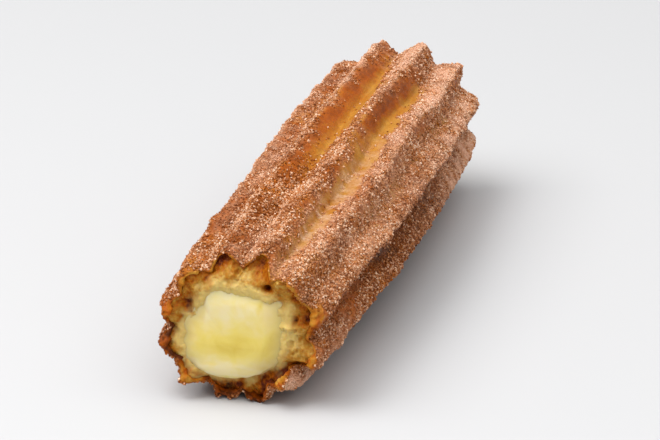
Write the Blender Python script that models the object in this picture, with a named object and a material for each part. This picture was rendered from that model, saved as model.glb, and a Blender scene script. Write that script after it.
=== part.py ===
"""A filled churro lying on its side, cut at both ends.

The dough is a fluted tube with twelve ridges, thicker in the middle than at its
cut ends, and slightly flattened underneath where it lies on a surface. A core of
custard runs through the whole tube and swells out a little at each cut.

Axes: +Y runs along the churro, from the end with the larger dome of custard at -Y.
+Z is up and the surface that it lies on is z = 0. Angles in a cross-section start at +X
and turn towards +Z.

Run it with: blender --background --python part.py
"""

import math

import bmesh
import bpy
import numpy as np

MM = 0.001

# The whole churro.
LENGTH = 148 * MM
FRONT_HALF_WIDTH = 17.6 * MM
BACK_HALF_WIDTH = 18.0 * MM
FRONT_HALF_HEIGHT = 16.8 * MM
BACK_HALF_HEIGHT = 17.2 * MM
WIDTH_SWELL = 1.7 * MM
HEIGHT_SWELL = 1.2 * MM
SWELL_PEAK = 0.55
SHOULDER_LENGTH = 7 * MM
SHOULDER_DROP = 0.6 * MM
BOW = 1.5 * MM
PRESSED_FLAT = 0.5 * MM

# The ridges that a star nozzle leaves, and the grooves between them.
RIDGES = 12
RIDGE_SHARPNESS = 0.93
TWIST = math.radians(1)
SWAY = math.radians(1.2)
# Each ridge stands out by its own amount, counted from the ridge just above +X towards the top,
# and each groove has its own depth, counted from the groove at +X.
RIDGE_RISES_MM = (1.5, 1.2, 0.6, 0.4, 0.4, 0.0, 0.2, 0.1, 0.0, 0.0, 0.3, 1.3)
GROOVE_DEPTHS_MM = (3.6, 2.4, 3.1, 3.2, 2.9, 2.7, 3.0, 2.6, 2.9, 3.0, 2.7, 3.2)

# The cut ends. Each ridge is torn off at its own place, so many millimetres further out than the
# plane of the cut, counted from the ridge just above +X. The crumb inside the rim is drawn in.
FRONT_REACH_MM = (-2.5, 2.1, -2.1, -0.4, 0.4, 1.5, 1.1, 0.7, -3.0, -1.5, 2.2, 1.2)
BACK_REACH_MM = (-0.7, 1.1, 2.2, 1.4, -3.2, -1.0, -0.6, 0.9, -0.5, 1.2, -1.0, -0.8)
TEAR_LENGTH = 14 * MM
CRUMB_DRAWN_IN = 2.0 * MM
CRUMB_STEPS = 4

# The custard core, a little left of the middle and below it.
CORE_RADIUS = 9.8 * MM
CORE_SIDE_SHIFT = -2.4 * MM
CORE_DROP = 1.0 * MM
CORE_GAP = 0.3 * MM
FRONT_DOME = 4.5 * MM
BACK_DOME = 3.0 * MM
DOME_SAG = 1.0 * MM
MOUTH_DEPTH = 4.0 * MM

# How finely the solids are faceted.
POINTS_PER_RIDGE = 8
OUTER_RINGS = 26
END_CROWDING = 0.55
BORE_RINGS = 9
CORE_POINTS = 32
DOME_RINGS = 5


def clear_scene():
    """Removes every object that the scene starts with."""
    for found in list(bpy.data.objects):
        bpy.data.objects.remove(found)


def plain_material(name, colour, roughness):
    """A Principled material of one colour."""
    made = bpy.data.materials.new(name)
    made.use_nodes = True
    shader = made.node_tree.nodes["Principled BSDF"]
    shader.inputs["Base Color"].default_value = (*colour, 1.0)
    shader.inputs["Roughness"].default_value = roughness
    shader.inputs["Metallic"].default_value = 0.0
    return made


def swell(along):
    """How far the churro has reached its full thickness: 0 at both ends and 1 at the peak."""
    before = along / SWELL_PEAK
    after = (1 - along) / (1 - SWELL_PEAK)
    return math.sin(0.5 * math.pi * min(before, after, 1.0))


def shoulder(along):
    """How much a cut end is rounded off, over the last few millimetres before each cut."""
    to_end = LENGTH * min(along, 1 - along)
    return SHOULDER_DROP * max(0.0, 1 - to_end / SHOULDER_LENGTH) ** 2


def half_sizes(along):
    """Half the width and half the height of the section, over the ridge tips."""
    width = FRONT_HALF_WIDTH + (BACK_HALF_WIDTH - FRONT_HALF_WIDTH) * along
    height = FRONT_HALF_HEIGHT + (BACK_HALF_HEIGHT - FRONT_HALF_HEIGHT) * along
    width += WIDTH_SWELL * swell(along) - shoulder(along)
    height += HEIGHT_SWELL * swell(along) - shoulder(along)
    return width, height


def axis_place(along):
    """Where the middle of the section lies: bowed sideways, and low enough to press the underside flat."""
    half_height = half_sizes(along)[1]
    lowest_tip = half_height * math.cos(math.pi / RIDGES)
    return BOW * math.sin(math.pi * along), lowest_tip - PRESSED_FLAT


def ridge_turns(angle):
    """Counts ridges: 0 at the ridge just above +X, 1 at the next one, and so on."""
    return angle * RIDGES / (2 * math.pi) - 0.5


def ridge_wave(turns):
    """1 on a ridge and -1 in a groove: a triangle wave with its corners rounded."""
    peak = math.asin(RIDGE_SHARPNESS)
    return np.arcsin(RIDGE_SHARPNESS * np.cos(2 * math.pi * turns)) / peak


def from_ridge_to_ridge(turns, amounts_mm):
    """Eases from each ridge's own amount to the next one's. Ridges are at whole turns."""
    amounts = np.array(amounts_mm) * MM
    before = np.floor(turns).astype(int)
    share = (1 - np.cos(math.pi * (turns - before))) / 2
    return amounts[before % RIDGES] * (1 - share) + amounts[(before + 1) % RIDGES] * share


def groove_depth(turns):
    """The depth of the groove that each angle is nearest to. Grooves are half way between ridges."""
    depths = np.array(GROOVE_DEPTHS_MM) * MM
    return depths[np.mod(np.floor(turns) + 1, RIDGES).astype(int)]


def outer_radius(angle, along):
    """Distance from the section's middle to the fluted outside, at each angle."""
    width, height = half_sizes(along)
    over_tips = 1 / np.hypot(np.cos(angle) / width, np.sin(angle) / height)
    sway = SWAY * np.sin(3 * angle + 5 * along) + TWIST * (along - 0.5)
    turns = ridge_turns(angle - sway)
    rise = from_ridge_to_ridge(turns, RIDGE_RISES_MM)
    return over_tips + rise - groove_depth(turns) * (1 - ridge_wave(turns)) / 2


def section(angle, radius, along):
    """Points of one ring, at angles and radii about the section's middle and not below the surface."""
    side, up = axis_place(along)
    x = side + radius * np.cos(angle)
    z = np.maximum(up + radius * np.sin(angle), 0.0)
    return x, z


def ring(angle, radius, along, shift):
    """A ring whose points are moved along the churro by shift, as rows of x, y and z."""
    x, z = section(angle, radius, along)
    y = LENGTH * (along - 0.5) + shift
    return np.column_stack([x, np.broadcast_to(y, x.shape), z])


def bore_radius(angle):
    """Distance from the section's middle to a round bore that is off centre, at each angle."""
    side = CORE_SIDE_SHIFT * np.cos(angle) - CORE_DROP * np.sin(angle)
    across = -CORE_SIDE_SHIFT * np.sin(angle) - CORE_DROP * np.cos(angle)
    return side + np.sqrt(CORE_RADIUS**2 - across**2)


def crumb_rings(angle, along, outward, reaches):
    """Rings across a cut end, from under the rim to the bore. The crumb is drawn in between the two."""
    rings = []
    outer = outer_radius(angle, along)
    inner = bore_radius(angle)
    rim = from_ridge_to_ridge(ridge_turns(angle), reaches)
    for step in range(1, CRUMB_STEPS + 1):
        share = step / (CRUMB_STEPS + 1)
        drawn_in = CRUMB_DRAWN_IN * math.sin(math.pi * share) ** 0.5
        shift = outward * (rim * (1 - share) - drawn_in)
        rings.append(ring(angle, outer + (inner - outer) * share, along, shift))
    return rings


def tear(along):
    """How much of the rim's unevenness a ring takes up: all at the cut, fading over the tear's length."""
    return max(0.0, 1 - along * LENGTH / TEAR_LENGTH) ** 2


def outer_rings(angle):
    """Rings along the fluted outside, closer together near both cuts."""
    rings = []
    for step in range(OUTER_RINGS):
        even = step / (OUTER_RINGS - 1)
        along = even - END_CROWDING * math.sin(2 * math.pi * even) / (2 * math.pi)
        front = from_ridge_to_ridge(ridge_turns(angle), FRONT_REACH_MM) * tear(along)
        back = from_ridge_to_ridge(ridge_turns(angle), BACK_REACH_MM) * tear(1 - along)
        rings.append(ring(angle, outer_radius(angle, along), along, back - front))
    return rings


def bore_places():
    """Shares of the length for the rings that the bore and the core have in common, clear of the mouths."""
    mouth = MOUTH_DEPTH / LENGTH
    return [mouth + (1 - 2 * mouth) * step / (BORE_RINGS - 1) for step in range(BORE_RINGS)]


def bore_rings(angle):
    """Rings along the bore, from the back cut to the front one."""
    places = [1.0, *reversed(bore_places()), 0.0]
    return [ring(angle, bore_radius(angle), along, 0.0) for along in places]


def bridge(bm, first, second):
    """Quads between two rings that have as many points."""
    count = len(first)
    for i in range(count):
        j = (i + 1) % count
        bm.faces.new((first[i], first[j], second[j], second[i]))


def skin(name, rings, material, closed):
    """One object from rings of points. Closed joins the last ring to the first, open fills both ends."""
    bm = bmesh.new()
    loops = [[bm.verts.new(point) for point in points] for points in rings]
    for first, second in zip(loops, loops[1:]):
        bridge(bm, first, second)
    if closed:
        bridge(bm, loops[-1], loops[0])
    else:
        bm.faces.new(loops[0])
        bm.faces.new(loops[-1])
    bmesh.ops.triangulate(bm, faces=bm.faces)
    bmesh.ops.recalc_face_normals(bm, faces=bm.faces)
    mesh = bpy.data.meshes.new(name)
    bm.to_mesh(mesh)
    bm.free()
    mesh.shade_smooth()
    mesh.materials.append(material)
    made = bpy.data.objects.new(name, mesh)
    bpy.context.collection.objects.link(made)
    return made


def make_dough(material):
    """The fluted tube: outside, back cut, bore and front cut, joined into one closed skin."""
    angle = np.arange(RIDGES * POINTS_PER_RIDGE) * 2 * math.pi / (RIDGES * POINTS_PER_RIDGE)
    rings = outer_rings(angle)
    rings += crumb_rings(angle, 1.0, 1.0, BACK_REACH_MM)
    rings += bore_rings(angle)
    rings += reversed(crumb_rings(angle, 0.0, -1.0, FRONT_REACH_MM))
    return skin("dough", rings, material, closed=True)


def core_ring(angle, radius, along, sag=0.0):
    """A round ring of the core, about the middle of the bore or as much below it as the custard sags."""
    side, up = axis_place(along)
    x = side + CORE_SIDE_SHIFT + radius * np.cos(angle)
    z = up - CORE_DROP - sag + radius * np.sin(angle)
    return np.column_stack([x, np.full_like(x, LENGTH * (along - 0.5)), z])


def make_core(material):
    """The custard, a round core with a dome at each cut. The domes start below the two mouths."""
    angle = np.arange(CORE_POINTS) * 2 * math.pi / CORE_POINTS
    radius = CORE_RADIUS - CORE_GAP
    places = bore_places()
    leans = [0.5 * math.pi * step / (DOME_RINGS + 0.5) for step in range(1, DOME_RINGS + 1)]
    rings = []
    for lean in reversed(leans):
        along = places[0] - FRONT_DOME / LENGTH * math.sin(lean)
        rings.append(core_ring(angle, radius * math.cos(lean), along, DOME_SAG * math.sin(lean)))
    for along in places:
        rings.append(core_ring(angle, radius, along))
    for lean in leans:
        along = places[-1] + BACK_DOME / LENGTH * math.sin(lean)
        rings.append(core_ring(angle, radius * math.cos(lean), along))
    return skin("custard", rings, material, closed=False)


def centre_on_origin(pieces):
    """Moves the pieces so that the middle of the churro's footprint is the origin."""
    corners = np.array([vertex.co for piece in pieces for vertex in piece.data.vertices])
    middle = (corners.min(axis=0) + corners.max(axis=0)) / 2
    for piece in pieces:
        piece.location = (-middle[0], -middle[1], 0.0)


def main():
    """Builds the churro."""
    clear_scene()
    dough = make_dough(plain_material("fried_dough", (0.42, 0.19, 0.075), 0.6))
    core = make_core(plain_material("custard", (0.86, 0.68, 0.27), 0.25))
    centre_on_origin([dough, core])


main()
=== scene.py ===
"""A filled churro, rolled in cinnamon sugar and lying on a pale surface.

The crust is a thin fluted shell, torn at both cut ends. Inside it sits a ring of pale
porous crumb at each end, and the custard runs through from one cut to the other.
Sugar crystals and cinnamon dust lie on the crust as small solid grains.

Shapes are worked out in millimetres and turned to metres where they become meshes.
Angles in a cross-section start at +X and turn towards +Z. "Along" is the share of the
churro's length, 0 at the cut that faces -Y and 1 at the cut that faces +Y.
"""

import logging
import math
from dataclasses import dataclass, field
from enum import Enum

import bpy
import numpy as np
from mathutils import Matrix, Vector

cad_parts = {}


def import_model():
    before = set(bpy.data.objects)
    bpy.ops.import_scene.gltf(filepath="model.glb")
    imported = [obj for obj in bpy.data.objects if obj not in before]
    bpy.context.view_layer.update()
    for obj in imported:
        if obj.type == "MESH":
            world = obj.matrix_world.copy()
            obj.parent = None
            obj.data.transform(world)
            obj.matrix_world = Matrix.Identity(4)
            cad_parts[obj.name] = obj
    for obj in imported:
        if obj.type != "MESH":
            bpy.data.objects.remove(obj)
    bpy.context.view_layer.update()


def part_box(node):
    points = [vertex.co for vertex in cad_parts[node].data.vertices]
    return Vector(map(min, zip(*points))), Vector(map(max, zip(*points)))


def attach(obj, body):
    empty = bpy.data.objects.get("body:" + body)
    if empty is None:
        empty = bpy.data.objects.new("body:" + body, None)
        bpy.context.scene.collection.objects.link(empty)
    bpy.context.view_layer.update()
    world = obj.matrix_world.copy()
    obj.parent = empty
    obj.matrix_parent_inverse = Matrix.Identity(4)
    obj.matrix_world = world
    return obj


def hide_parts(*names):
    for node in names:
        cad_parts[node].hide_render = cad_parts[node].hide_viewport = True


log = logging.getLogger("churro")

MM = 0.001
RIDGES = 12


class End(Enum):
    """One of the two cut ends."""

    FRONT = "front"
    BACK = "back"


# ---------------------------------------------------------------------------
# Noise and small shape functions
# ---------------------------------------------------------------------------


def hash_share(cells: np.ndarray, seed: int) -> np.ndarray:
    """A repeatable random share for each whole-number cell: its numbers are multiplied and mixed bit by bit.

    Args:
        cells: Whole numbers, with the cell's coordinates along the last axis.
        seed: Which set of random shares to use.

    Returns:
        A share from 0 to 1 for each cell.
    """
    primes = np.array([73856093, 19349663, 83492791], dtype=np.int64)[: cells.shape[-1]]
    mixed = (cells.astype(np.int64) * primes).sum(axis=-1) + seed * 2654435761
    mixed = mixed & 0xFFFFFFFF
    for shift, factor in ((15, 0x2C1B3C6D), (12, 0x297A2D39)):
        mixed = ((mixed ^ (mixed >> shift)) * factor) & 0xFFFFFFFF
    mixed ^= mixed >> 15
    return mixed / 0xFFFFFFFF


def soft_noise(points: np.ndarray, size: float, seed: int) -> np.ndarray:
    """Smooth noise: random values on a cubic lattice, blended by a quintic ease between its corners.

    Args:
        points: Places, with their coordinates along the last axis.
        size: Spacing of the lattice, in the same unit as the points.
        seed: Which set of random values to use.

    Returns:
        A value from -1 to 1 for each point.
    """
    scaled = points / size
    cell = np.floor(scaled)
    part = scaled - cell
    ease = part**3 * (part * (part * 6 - 15) + 10)
    cell = cell.astype(np.int64)
    dims = points.shape[-1]
    total = np.zeros(points.shape[:-1])
    for corner in range(2**dims):
        step = np.array([(corner >> axis) & 1 for axis in range(dims)])
        weight = np.prod(np.where(step == 1, ease, 1 - ease), axis=-1)
        total += weight * hash_share(cell + step, seed)
    return 2 * total - 1


def layered_noise(points: np.ndarray, size: float, seed: int, layers: int = 3) -> np.ndarray:
    """Noise in layers, each half as large and half as strong as the one before.

    Args:
        points: Places, with their coordinates along the last axis.
        size: Spacing of the coarsest layer.
        seed: Which set of random values to use.
        layers: How many layers to add.

    Returns:
        A value from about -1 to 1 for each point.
    """
    total = np.zeros(points.shape[:-1])
    for layer in range(layers):
        total += soft_noise(points, size / 2**layer, seed + 17 * layer) / 2**layer
    return total / (2 - 2.0 ** (1 - layers))


@dataclass(frozen=True)
class Uneven:
    """One kind of unevenness: its strength, the size of its features in millimetres, its seed and layers."""

    strength: float
    size: float
    seed: int
    layers: int = 1

    def at(self, points: np.ndarray, seed: int = 0) -> np.ndarray:
        """Its value at each point, up to about plus or minus its strength. The seed is added to its own."""
        return self.strength * layered_noise(points, self.size, self.seed + seed, self.layers)


def summed(kinds: tuple[Uneven, ...], points: np.ndarray, seed: int = 0) -> np.ndarray:
    """Several kinds of unevenness together. The seed is added to each one's own."""
    return sum(kind.at(points, seed) for kind in kinds)


def joined(*parts: np.ndarray | float) -> np.ndarray:
    """Coordinates side by side along a new last axis, each spread to the shape that they all share."""
    return np.stack(np.broadcast_arrays(*parts), axis=-1)


def angles_round(count: int) -> np.ndarray:
    """One row of evenly spaced angles of a full turn."""
    return (np.arange(count) * 2 * math.pi / count)[None, :]


def ease_between(low: float, high: float, values: np.ndarray) -> np.ndarray:
    """0 below low, 1 above high, and a smooth cubic step between them."""
    share = np.clip((values - low) / (high - low), 0.0, 1.0)
    return share * share * (3 - 2 * share)


def bell(offset: np.ndarray, half_width: float) -> np.ndarray:
    """A bell curve: 1 in the middle, falling off over about the half width."""
    return np.exp(-((offset / half_width) ** 2))


@dataclass(frozen=True)
class Pits:
    """Round pits, the lower parts of spheres, one at a random place in some cells of a square grid.

    The spacing is the size of a cell, and widest is the radius of the largest pit, both in millimetres. The
    share says how many cells hold a pit, and the strength how deep the pits are for their width.
    """

    strength: float
    spacing: float
    widest: float
    share: float
    seed: int

    def depth(self, places: np.ndarray, seed: int) -> np.ndarray:
        """Works out the pits' depth.

        Args:
            places: Points in a plane, with two coordinates along the last axis.
            seed: Added to the pits' own.

        Returns:
            The depth at each place, 0 outside every pit.
        """
        seed = self.seed + seed
        cell = np.floor(places / self.spacing).astype(np.int64)
        deepest = np.zeros(places.shape[:-1])
        for across in (-1, 0, 1):
            for up in (-1, 0, 1):
                near = cell + np.array([across, up])
                jitter = joined(hash_share(near, seed), hash_share(near, seed + 1))
                radius = self.widest * (0.35 + 0.65 * hash_share(near, seed + 2) ** 2)
                radius = np.where(hash_share(near, seed + 3) < self.share, radius, 0.0)
                gap = places - (near + 0.2 + 0.6 * jitter) * self.spacing
                inside = radius**2 - (gap**2).sum(axis=-1)
                deepest = np.maximum(deepest, np.sqrt(np.maximum(inside, 0.0)))
        return self.strength * deepest


# ---------------------------------------------------------------------------
# Meshes
# ---------------------------------------------------------------------------


def mesh_from_arrays(
    name: str, points: np.ndarray, faces: list[np.ndarray], smooth: bool
) -> bpy.types.Object:
    """Makes an object at the origin from points and faces, and links it to the scene.

    Args:
        name: The piece's name.
        points: One row of x, y and z in millimetres for each vertex.
        faces: Arrays of vertex numbers, each with one row for each face and one column for each corner.
        smooth: Whether faces are shaded smooth.

    Returns:
        The new object.
    """
    corners = np.concatenate([block.ravel() for block in faces]).astype(np.int32)
    sizes = np.concatenate([np.full(len(block), block.shape[1]) for block in faces]).astype(np.int32)
    starts = np.concatenate([[0], np.cumsum(sizes)[:-1]]).astype(np.int32)
    mesh = bpy.data.meshes.new(name)
    mesh.vertices.add(len(points))
    mesh.vertices.foreach_set("co", (points * MM).astype(np.float32).ravel())
    mesh.loops.add(len(corners))
    mesh.loops.foreach_set("vertex_index", corners)
    mesh.polygons.add(len(sizes))
    mesh.polygons.foreach_set("loop_start", starts)
    mesh.update(calc_edges=True)
    mesh.polygons.foreach_set("use_smooth", np.full(len(sizes), smooth))
    mesh.update()
    made = bpy.data.objects.new(name, mesh)
    bpy.context.collection.objects.link(made)
    return made


def ring_faces(rows: int, columns: int, closed: bool, flip: bool = False) -> np.ndarray:
    """Quads of a grid whose columns go round and meet. Closed also joins the last row to the first.

    Args:
        rows: Number of rings.
        columns: Points in each ring.
        closed: Whether the last ring is joined to the first.
        flip: Whether the faces are turned over.

    Returns:
        Vertex numbers, four for each face.
    """
    row = np.arange(rows if closed else rows - 1)[:, None]
    column = np.arange(columns)[None, :]
    after_row, after_column = (row + 1) % rows, (column + 1) % columns
    quads = joined(
        row * columns + column,
        after_row * columns + column,
        after_row * columns + after_column,
        row * columns + after_column,
    ).reshape(-1, 4)
    return quads[:, ::-1] if flip else quads


def give_attribute(made: bpy.types.Object, name: str, values: np.ndarray) -> None:
    """Stores one number for each vertex, which the piece's material reads by name."""
    attribute = made.data.attributes.new(name, "FLOAT", "POINT")
    attribute.data.foreach_set("value", np.ascontiguousarray(values, dtype=np.float32).ravel())


# ---------------------------------------------------------------------------
# Materials
# ---------------------------------------------------------------------------


def linear(hex_colour: str) -> tuple[float, float, float, float]:
    """Turns an sRGB hex colour, such as "c8823c", to linear red, green and blue with full alpha."""
    shares = [int(hex_colour[place : place + 2], 16) / 255 for place in (0, 2, 4)]
    return (*[s / 12.92 if s <= 0.04045 else ((s + 0.055) / 1.055) ** 2.4 for s in shares], 1.0)


def per_metre(size_mm: float) -> float:
    """The texture scale that makes a pattern repeat at about this size in millimetres."""
    return 1000 / size_mm


def evened(spread: float) -> dict[str, float]:
    """Map Range inputs that turn noise, most of which lies from 0.3 to 0.7, to plus or minus a spread."""
    return {"From_Min": 0.3, "From_Max": 0.7, "To_Min": -spread, "To_Max": spread}


def add_node(
    tree: bpy.types.NodeTree, kind: str, settings: dict | None = None, stops: tuple = (), **inputs
) -> bpy.types.Node:
    """Adds a node with its settings, ramp stops, values and links.

    Args:
        tree: The material's node tree.
        kind: The node's type without the "ShaderNode" at its start.
        settings: Values of the node's own properties.
        stops: Position and sRGB hex colour of each stop, on a colour ramp.
        **inputs: Values or other nodes' sockets. An input goes by its name, with _ for a blank, or by "i"
            and its number.

    Returns:
        The new node.
    """
    node = tree.nodes.new("ShaderNode" + kind)
    for name, value in (settings or {}).items():
        setattr(node, name, value)
    if stops:
        elements = node.color_ramp.elements
        while len(elements) < len(stops):
            elements.new(1.0)
        for element, (position, colour) in zip(elements, stops):
            element.position = position
            element.color = linear(colour)
    for name, value in inputs.items():
        key = int(name[1:]) if name[0] == "i" and name[1:].isdigit() else name.replace("_", " ")
        if isinstance(value, bpy.types.NodeSocket):
            tree.links.new(value, node.inputs[key])
        else:
            node.inputs[key].default_value = value
    return node


def new_material(name: str, **constants) -> tuple[bpy.types.Material, bpy.types.NodeTree, bpy.types.Node]:
    """Makes a Principled material.

    Args:
        name: What the material is.
        **constants: What is the same all over it, by the input's name with _ for a blank.

    Returns:
        The material, its node tree and its Principled shader.
    """
    material = bpy.data.materials.new(name)
    material.use_nodes = True
    tree = material.node_tree
    shader = tree.nodes["Principled BSDF"]
    for name, value in constants.items():
        shader.inputs[name.replace("_", " ")].default_value = value
    return material, tree, shader


@dataclass(frozen=True)
class FriedCrust:
    """Deep-fried dough: browned on the ridges, oily gold where it is bare, and dulled by cinnamon sugar.

    It goes from pale to dark as it toasts, and the same darkening also paints shade in folds, on shaded
    flanks and in dark patches. Dust is spiced sugar that is too fine for grains of its own, and film is fine
    pale sugar that lies thick. A cover says how much of the dough either one hides at most.
    """

    pale: str = "b6812f"
    gold: str = "ae6c19"
    orange: str = "a04e08"
    brown: str = "7c3804"
    dark: str = "4a2006"
    dust_light: str = "ca8048"
    dust_mid: str = "98521e"
    dust_dark: str = "4a200c"
    film_light: str = "e4c5aa"
    film_dark: str = "b88b64"
    crystal_mm: float = 0.45
    blister_mm: float = 1.1
    grit_mm: float = 0.5
    streak: float = 0.35
    mottle: float = 0.11
    dust_cover: float = 0.75
    film_cover: float = 0.8
    oily_roughness: float = 0.42
    sugared_roughness: float = 0.72

    def build(self) -> bpy.types.Material:
        """Makes the material. It reads the attributes toast, dust and frost."""
        material, tree, shader = new_material("fried_dough_crust", IOR=1.45, Specular_IOR_Level=0.12)
        place = add_node(tree, "TexCoord").outputs["Object"]
        toast_and_shade, dust, frost = (
            add_node(tree, "Attribute", {"attribute_name": name}).outputs["Fac"]
            for name in ("toast_and_shade", "dust", "frost")
        )
        # The nozzle draws the dough out, so its browning runs in short streaks along the ridges.
        drawn = add_node(tree, "Mapping", Vector=place, Scale=(1.0, self.streak, 1.0)).outputs["Vector"]
        mottle = add_node(
            tree, "TexNoise", Vector=drawn, Scale=per_metre(self.blister_mm), Detail=5.0, Roughness=0.6
        ).outputs["Fac"]
        uneven = add_node(tree, "MapRange", Value=mottle, **evened(self.mottle)).outputs["Result"]
        toasted_and_shaded = add_node(tree, "Math", {"operation": "ADD"}, i0=toast_and_shade, i1=uneven).outputs["Value"]
        colours = (self.pale, self.gold, self.orange, self.brown, self.dark)
        browning = tuple(zip((0.0, 0.25, 0.5, 0.75, 1.0), colours))
        crust = add_node(tree, "ValToRGB", stops=browning, Fac=toasted_and_shaded).outputs["Color"]
        # Crystals too small to be grains of their own: one random tone for each cell.
        crystal = add_node(tree, "TexVoronoi", Vector=place, Scale=per_metre(self.crystal_mm))
        tone = add_node(tree, "SeparateColor", Color=crystal.outputs["Color"]).outputs["Red"]
        mixed = crust
        for amount, cover, stops in (
            (dust, self.dust_cover, ((0.0, self.dust_dark), (0.5, self.dust_mid), (1.0, self.dust_light))),
            (frost, self.film_cover, ((0.0, self.film_dark), (1.0, self.film_light))),
        ):
            sugar = add_node(tree, "ValToRGB", stops=stops, Fac=tone).outputs["Color"]
            hidden = add_node(tree, "Math", {"operation": "MULTIPLY"}, i0=amount, i1=cover).outputs["Value"]
            mixed = add_node(tree, "Mix", {"data_type": "RGBA"}, i0=hidden, i6=mixed, i7=sugar).outputs[2]
        tree.links.new(mixed, shader.inputs["Base Color"])
        rough = add_node(
            tree, "MapRange", Value=dust, To_Min=self.oily_roughness, To_Max=self.sugared_roughness
        ).outputs["Result"]
        tree.links.new(rough, shader.inputs["Roughness"])
        fine = add_node(
            tree, "TexNoise", Vector=place, Scale=per_metre(self.grit_mm), Detail=3.0, Roughness=0.7
        ).outputs["Fac"]
        grit = add_node(
            tree, "Math", {"operation": "MULTIPLY"}, i0=crystal.outputs["Distance"], i1=dust
        ).outputs["Value"]
        height = add_node(tree, "Math", {"operation": "ADD"}, i0=fine, i1=grit).outputs["Value"]
        bump = add_node(tree, "Bump", Strength=0.7, Distance=0.3 * MM, Height=height).outputs["Normal"]
        tree.links.new(bump, shader.inputs["Normal"])
        return material


@dataclass(frozen=True)
class MoistCrumb:
    """The inside of fried dough: pale, moist and translucent, golden where it was close to the oil."""

    pale: str = "c4a25c"
    straw: str = "a8782a"
    amber: str = "9a5002"
    burnt: str = "561c05"
    cream: str = "cdb36c"
    grain_mm: float = 0.9
    mottle: float = 0.2

    def build(self) -> bpy.types.Material:
        """Makes the material. It reads the attributes toast and wet."""
        material, tree, shader = new_material(
            "dough_crumb",
            Roughness=0.45,
            IOR=1.42,
            Specular_IOR_Level=0.12,
            Subsurface_Weight=0.5,
            Subsurface_Radius=(1.0, 0.6, 0.25),
            Subsurface_Scale=1.5 * MM,
        )
        place = add_node(tree, "TexCoord").outputs["Object"]
        toast_and_shade, wet = (
            add_node(tree, "Attribute", {"attribute_name": name}).outputs["Fac"]
            for name in ("toast_and_shade", "wet")
        )
        mottle = add_node(
            tree, "TexNoise", Vector=place, Scale=per_metre(self.grain_mm), Detail=4.0, Roughness=0.65
        ).outputs["Fac"]
        uneven = add_node(tree, "MapRange", Value=mottle, **evened(self.mottle)).outputs["Result"]
        # The browning also carries painted shade in the crumb's hollows and air holes.
        toasted_and_shaded = add_node(tree, "Math", {"operation": "ADD"}, i0=toast_and_shade, i1=uneven).outputs["Value"]
        browning = ((0.0, self.pale), (0.35, self.straw), (0.7, self.amber), (1.0, self.burnt))
        crumb = add_node(tree, "ValToRGB", stops=browning, Fac=toasted_and_shaded).outputs["Color"]
        # Custard that wets the crumb hides its colour.
        cream = linear(self.cream)
        smear = add_node(tree, "Mix", {"data_type": "RGBA"}, i0=wet, i6=crumb, i7=cream).outputs[2]
        tree.links.new(smear, shader.inputs["Base Color"])
        bump = add_node(tree, "Bump", Strength=0.5, Distance=0.2 * MM, Height=mottle).outputs["Normal"]
        tree.links.new(bump, shader.inputs["Normal"])
        return material


@dataclass(frozen=True)
class CustardCream:
    """Egg custard: smooth, glossy and pale yellow, lit a little from inside, browner where it soaks in."""

    light: str = "d9cb9c"
    yellow: str = "d8c466"
    deep: str = "c8ac38"
    soaked_and_shaded: str = "c9b072"
    swirl_mm: float = 4.5
    mottle: float = 0.13

    def build(self) -> bpy.types.Material:
        """Makes the material. It reads the attributes rich and soaked."""
        material, tree, shader = new_material(
            "custard_cream",
            Roughness=0.3,
            IOR=1.4,
            Subsurface_Weight=0.6,
            Subsurface_Radius=(1.0, 0.75, 0.35),
            Subsurface_Scale=3 * MM,
        )
        place = add_node(tree, "TexCoord").outputs["Object"]
        rich_and_shade, soak_and_shade = (
            add_node(tree, "Attribute", {"attribute_name": name}).outputs["Fac"]
            for name in ("rich_and_shade", "soaked_and_shaded")
        )
        swirl = add_node(
            tree, "TexNoise", Vector=place, Scale=per_metre(self.swirl_mm), Detail=4.0, Distortion=1.5
        ).outputs["Fac"]
        uneven = add_node(tree, "MapRange", Value=swirl, **evened(self.mottle)).outputs["Result"]
        # The yellow deepens where shade is painted (band, hollows, crease) and pales where highlight is
        # painted (lip, top), besides the custard's own swirls.
        tone = add_node(tree, "Math", {"operation": "ADD"}, i0=rich_and_shade, i1=uneven).outputs["Value"]
        stops = ((0.0, self.light), (0.5, self.yellow), (1.0, self.deep))
        colour = add_node(tree, "ValToRGB", stops=stops, Fac=tone).outputs["Color"]
        # The browner colour is custard soaked by the crumb, and also paints shade at its edge.
        soaked_and_shaded = linear(self.soaked_and_shaded)
        colour = add_node(tree, "Mix", {"data_type": "RGBA"}, i0=soak_and_shade, i6=colour, i7=soaked_and_shaded).outputs[2]
        tree.links.new(colour, shader.inputs["Base Color"])
        return material


@dataclass(frozen=True)
class SugarFinish:
    """Sugar crystals or spice: hard little facets, each grain of one tone from dark to light.

    Film is the colour of the fine sugar that dulls the grains, and its cover says how much it hides at most.
    """

    name: str
    light: str
    dark: str
    roughness: float
    gloss: float
    film: str = "e2b89e"
    film_cover: float = 0.7

    def build(self) -> bpy.types.Material:
        """Makes the material. It reads the attributes tone and frost."""
        material, tree, shader = new_material(
            self.name, Roughness=self.roughness, IOR=1.54, Specular_IOR_Level=self.gloss
        )
        tone, frost = (
            add_node(tree, "Attribute", {"attribute_name": name}).outputs["Fac"]
            for name in ("tone", "frost")
        )
        stops = ((0.0, self.dark), (1.0, self.light))
        colour = add_node(tree, "ValToRGB", stops=stops, Fac=tone).outputs["Color"]
        # Where fine sugar lies thick, it dulls every grain to the same pale pink.
        film = linear(self.film)
        dulled = add_node(
            tree, "Math", {"operation": "MULTIPLY"}, i0=frost, i1=self.film_cover
        ).outputs["Value"]
        colour = add_node(tree, "Mix", {"data_type": "RGBA"}, i0=dulled, i6=colour, i7=film).outputs[2]
        tree.links.new(colour, shader.inputs["Base Color"])
        return material


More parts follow.
